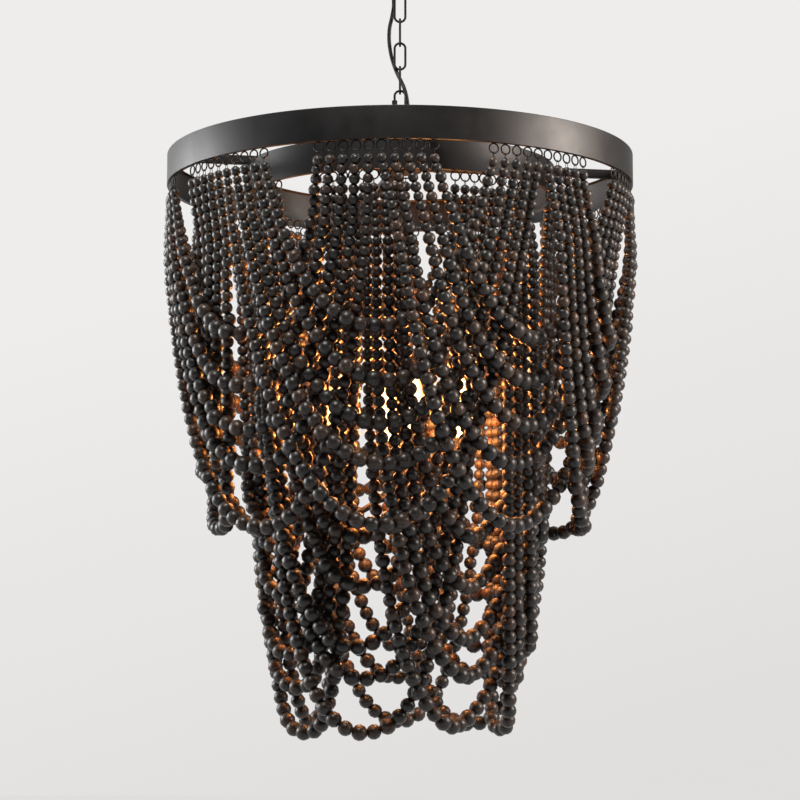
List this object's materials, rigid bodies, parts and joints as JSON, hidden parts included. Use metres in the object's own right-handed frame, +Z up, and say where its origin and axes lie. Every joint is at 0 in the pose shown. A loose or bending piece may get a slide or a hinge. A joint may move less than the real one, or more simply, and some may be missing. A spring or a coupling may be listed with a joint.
{
  "type": "beaded chandelier",
  "caption": "Ceiling chandelier: two black steel hoops hung on a chain, draped with swags of graduated dark wooden beads round a cluster of candle lamps.",
  "frame": {"origin": "on the ceiling, at the middle of the upper face of the mounting strip", "axes": "+Z up, -Y towards the viewer of the picture, +X to the right of that view"},
  "size_m": [0.6085, 0.6068, 1.0294],
  "materials": {
    "black_paint": "satin black powder coat on steel",
    "zinc_plated_steel": "bright zinc plate, hidden in the canopy",
    "black_plastic": "moulded nylon",
    "cable_sheath": "smooth black cable sheath",
    "cream_plastic": "moulded lamp holder plastic",
    "lit_glass": "clear candle bulb glass, lit warm",
    "stained_wood": "turned wooden beads, charcoal stain, satin lacquer"
  },
  "bodies": {
    "canopy": {"mounting_strip": "zinc_plated_steel", "canopy_cup": "black_paint", "canopy_screw_1": "black_paint", "canopy_screw_2": "black_paint", "terminal_block": "cream_plastic", "canopy_loop": "black_paint", "loop_nut": "zinc_plated_steel", "flex_bushing": "black_plastic", "flex_cord": "cable_sheath"},
    "chain_link_1": {"chain_link_1": "black_paint"},
    "chain_link_2": {"chain_link_2": "black_paint"},
    "chain_link_3": {"chain_link_3": "black_paint"},
    "chain_link_4": {"chain_link_4": "black_paint"},
    "chain_link_5": {"chain_link_5": "black_paint"},
    "quick_link": {"quick_link": "black_paint", "quick_link_nut": "black_paint"},
    "fixture": {"top_loop": "black_paint", "hub": "black_paint", "outer_hoop": "black_paint", "inner_hoop": "black_paint", "spoke_1": "black_paint", "spoke_2": "black_paint", "spoke_3": "black_paint", "spoke_4": "black_paint", "stem_tube": "black_paint", "lamp_hub": "black_paint", "finial": "black_paint", "lamp_arm_1": "black_paint", "lamp_holder_1": "cream_plastic", "candle_sleeve_1": "black_paint", "lamp_arm_2": "black_paint", "lamp_holder_2": "cream_plastic", "candle_sleeve_2": "black_paint", "lamp_arm_3": "black_paint", "lamp_holder_3": "cream_plastic", "candle_sleeve_3": "black_paint", "lamp_arm_4": "black_paint", "lamp_holder_4": "cream_plastic", "candle_sleeve_4": "black_paint"},
    "bulb_1": {"bulb_1": "lit_glass"},
    "bulb_2": {"bulb_2": "lit_glass"},
    "bulb_3": {"bulb_3": "lit_glass"},
    "bulb_4": {"bulb_4": "lit_glass"},
    "outer_swag_set_1": {"outer_swag_set_1": "stained_wood"},
    "outer_swag_set_2": {"outer_swag_set_2": "stained_wood"},
    "outer_swag_set_3": {"outer_swag_set_3": "stained_wood"},
    "outer_swag_set_4": {"outer_swag_set_4": "stained_wood"},
    "outer_swag_set_5": {"outer_swag_set_5": "stained_wood"},
    "outer_swag_set_6": {"outer_swag_set_6": "stained_wood"},
    "outer_swag_set_7": {"outer_swag_set_7": "stained_wood"},
    "outer_swag_set_8": {"outer_swag_set_8": "stained_wood"},
    "outer_swag_set_9": {"outer_swag_set_9": "stained_wood"},
    "inner_swag_set_1": {"inner_swag_set_1": "stained_wood"},
    "inner_swag_set_2": {"inner_swag_set_2": "stained_wood"},
    "inner_swag_set_3": {"inner_swag_set_3": "stained_wood"},
    "inner_swag_set_4": {"inner_swag_set_4": "stained_wood"},
    "inner_swag_set_5": {"inner_swag_set_5": "stained_wood"},
    "inner_swag_set_6": {"inner_swag_set_6": "stained_wood"},
    "inner_swag_set_7": {"inner_swag_set_7": "stained_wood"}
  },
  "joints": [
    {"name": "chain_link_1_sway", "type": "hinge", "parent": "canopy", "child": "chain_link_1", "pos_m": [0, 0, -0.0453], "axis": [1, 0, 0], "range_deg": [-8, 8], "deforming": ["flex_cord"]},
    {"name": "chain_link_2_sway", "type": "hinge", "parent": "chain_link_1", "child": "chain_link_2", "pos_m": [0, 0, -0.0765], "axis": [0, 1, 0], "range_deg": [-8, 8]},
    {"name": "chain_link_3_sway", "type": "hinge", "parent": "chain_link_2", "child": "chain_link_3", "pos_m": [0, 0, -0.1082], "axis": [1, 0, 0], "range_deg": [-8, 8]},
    {"name": "chain_link_4_sway", "type": "hinge", "parent": "chain_link_3", "child": "chain_link_4", "pos_m": [0, 0, -0.1399], "axis": [0, 1, 0], "range_deg": [-8, 8]},
    {"name": "chain_link_5_sway", "type": "hinge", "parent": "chain_link_4", "child": "chain_link_5", "pos_m": [0, 0, -0.1716], "axis": [1, 0, 0], "range_deg": [-8, 8]},
    {"name": "quick_link_sway", "type": "hinge", "parent": "chain_link_5", "child": "quick_link", "pos_m": [0, 0, -0.2033], "axis": [0, 1, 0], "range_deg": [-8, 8]},
    {"name": "fixture_sway", "type": "hinge", "parent": "quick_link", "child": "fixture", "pos_m": [0, 0, -0.235], "axis": [1, 0, 0], "range_deg": [-8, 8]},
    {"name": "bulb_1_lift", "type": "slide", "parent": "fixture", "child": "bulb_1", "axis": [0, 0, 1], "range_m": [0, 0.03]},
    {"name": "bulb_2_lift", "type": "slide", "parent": "fixture", "child": "bulb_2", "axis": [0, 0, 1], "range_m": [0, 0.03]},
    {"name": "bulb_3_lift", "type": "slide", "parent": "fixture", "child": "bulb_3", "axis": [0, 0, 1], "range_m": [0, 0.03]},
    {"name": "bulb_4_lift", "type": "slide", "parent": "fixture", "child": "bulb_4", "axis": [0, 0, 1], "range_m": [0, 0.03]},
    {"name": "outer_swag_set_1_swing", "type": "hinge", "parent": "fixture", "child": "outer_swag_set_1", "pos_m": [-0.02359, -0.24496, -0.3314], "axis": [-0.9954, 0.0958, 0], "range_deg": [-0.8, 1.5]},
    {"name": "outer_swag_set_2_swing", "type": "hinge", "parent": "fixture", "child": "outer_swag_set_2", "pos_m": [0.13939, -0.20281, -0.3314], "axis": [-0.8241, -0.5664, 0], "range_deg": [-0.8, 1.5]},
    {"name": "outer_swag_set_3_swing", "type": "hinge", "parent": "fixture", "child": "outer_swag_set_3", "pos_m": [0.23714, -0.06577, -0.3314], "axis": [-0.2672, -0.9636, 0], "range_deg": [-0.8, 1.5]},
    {"name": "outer_swag_set_4_swing", "type": "hinge", "parent": "fixture", "child": "outer_swag_set_4", "pos_m": [0.22393, 0.10205, -0.3314], "axis": [0.4147, -0.91, 0], "range_deg": [-0.8, 1.5]},
    {"name": "outer_swag_set_5_swing", "type": "hinge", "parent": "fixture", "child": "outer_swag_set_5", "pos_m": [0.10594, 0.22212, -0.3314], "axis": [0.9026, -0.4305, 0], "range_deg": [-0.8, 1.5]},
    {"name": "outer_swag_set_6_swing", "type": "hinge", "parent": "fixture", "child": "outer_swag_set_6", "pos_m": [-0.06162, 0.23825, -0.3314], "axis": [0.9681, 0.2504, 0], "range_deg": [-0.8, 1.5]},
    {"name": "outer_swag_set_7_swing", "type": "hinge", "parent": "fixture", "child": "outer_swag_set_7", "pos_m": [-0.20035, 0.14291, -0.3314], "axis": [0.5807, 0.8141, 0], "range_deg": [-0.8, 1.5]},
    {"name": "outer_swag_set_8_swing", "type": "hinge", "parent": "fixture", "child": "outer_swag_set_8", "pos_m": [-0.24533, -0.01931, -0.3314], "axis": [-0.0785, 0.9969, 0], "range_deg": [-0.8, 1.5]},
    {"name": "outer_swag_set_9_swing", "type": "hinge", "parent": "fixture", "child": "outer_swag_set_9", "pos_m": [-0.17552, -0.17249, -0.3314], "axis": [-0.7009, 0.7133, 0], "range_deg": [-0.8, 1.5]},
    {"name": "inner_swag_set_1_swing", "type": "hinge", "parent": "fixture", "child": "inner_swag_set_1", "pos_m": [-0.03664, -0.13867, -0.3445], "axis": [-0.9668, 0.2554, 0], "range_deg": [-0.4, 1.5]},
    {"name": "inner_swag_set_2_swing", "type": "hinge", "parent": "fixture", "child": "inner_swag_set_2", "pos_m": [0.08557, -0.11511, -0.3445], "axis": [-0.8025, -0.5966, 0], "range_deg": [-0.4, 1.5]},
    {"name": "inner_swag_set_3_swing", "type": "hinge", "parent": "fixture", "child": "inner_swag_set_3", "pos_m": [0.14335, -0.00486, -0.3445], "axis": [-0.0339, -0.9994, 0], "range_deg": [-0.4, 1.5]},
    {"name": "inner_swag_set_4_swing", "type": "hinge", "parent": "fixture", "child": "inner_swag_set_4", "pos_m": [0.09318, 0.10904, -0.3445], "axis": [0.7602, -0.6496, 0], "range_deg": [-0.4, 1.5]},
    {"name": "inner_swag_set_5_swing", "type": "hinge", "parent": "fixture", "child": "inner_swag_set_5", "pos_m": [-0.02716, 0.14084, -0.3445], "axis": [0.9819, 0.1893, 0], "range_deg": [-0.4, 1.5]},
    {"name": "inner_swag_set_6_swing", "type": "hinge", "parent": "fixture", "child": "inner_swag_set_6", "pos_m": [-0.12704, 0.06658, -0.3445], "axis": [0.4642, 0.8857, 0], "range_deg": [-0.4, 1.5]},
    {"name": "inner_swag_set_7_swing", "type": "hinge", "parent": "fixture", "child": "inner_swag_set_7", "pos_m": [-0.13126, -0.05781, -0.3445], "axis": [-0.4031, 0.9152, 0], "range_deg": [-0.4, 1.5]}
  ],
  "couplings": [
    {"joint": "outer_swag_set_2_swing", "follows": "outer_swag_set_1_swing", "ratio": 1},
    {"joint": "outer_swag_set_3_swing", "follows": "outer_swag_set_1_swing", "ratio": 1},
    {"joint": "outer_swag_set_4_swing", "follows": "outer_swag_set_1_swing", "ratio": 1},
    {"joint": "outer_swag_set_5_swing", "follows": "outer_swag_set_1_swing", "ratio": 1},
    {"joint": "outer_swag_set_6_swing", "follows": "outer_swag_set_1_swing", "ratio": 1},
    {"joint": "outer_swag_set_7_swing", "follows": "outer_swag_set_1_swing", "ratio": 1},
    {"joint": "outer_swag_set_8_swing", "follows": "outer_swag_set_1_swing", "ratio": 1},
    {"joint": "outer_swag_set_9_swing", "follows": "outer_swag_set_1_swing", "ratio": 1},
    {"joint": "inner_swag_set_2_swing", "follows": "inner_swag_set_1_swing", "ratio": 1},
    {"joint": "inner_swag_set_3_swing", "follows": "inner_swag_set_1_swing", "ratio": 1},
    {"joint": "inner_swag_set_4_swing", "follows": "inner_swag_set_1_swing", "ratio": 1},
    {"joint": "inner_swag_set_5_swing", "follows": "inner_swag_set_1_swing", "ratio": 1},
    {"joint": "inner_swag_set_6_swing", "follows": "inner_swag_set_1_swing", "ratio": 1},
    {"joint": "inner_swag_set_7_swing", "follows": "inner_swag_set_1_swing", "ratio": 1}
  ]
}
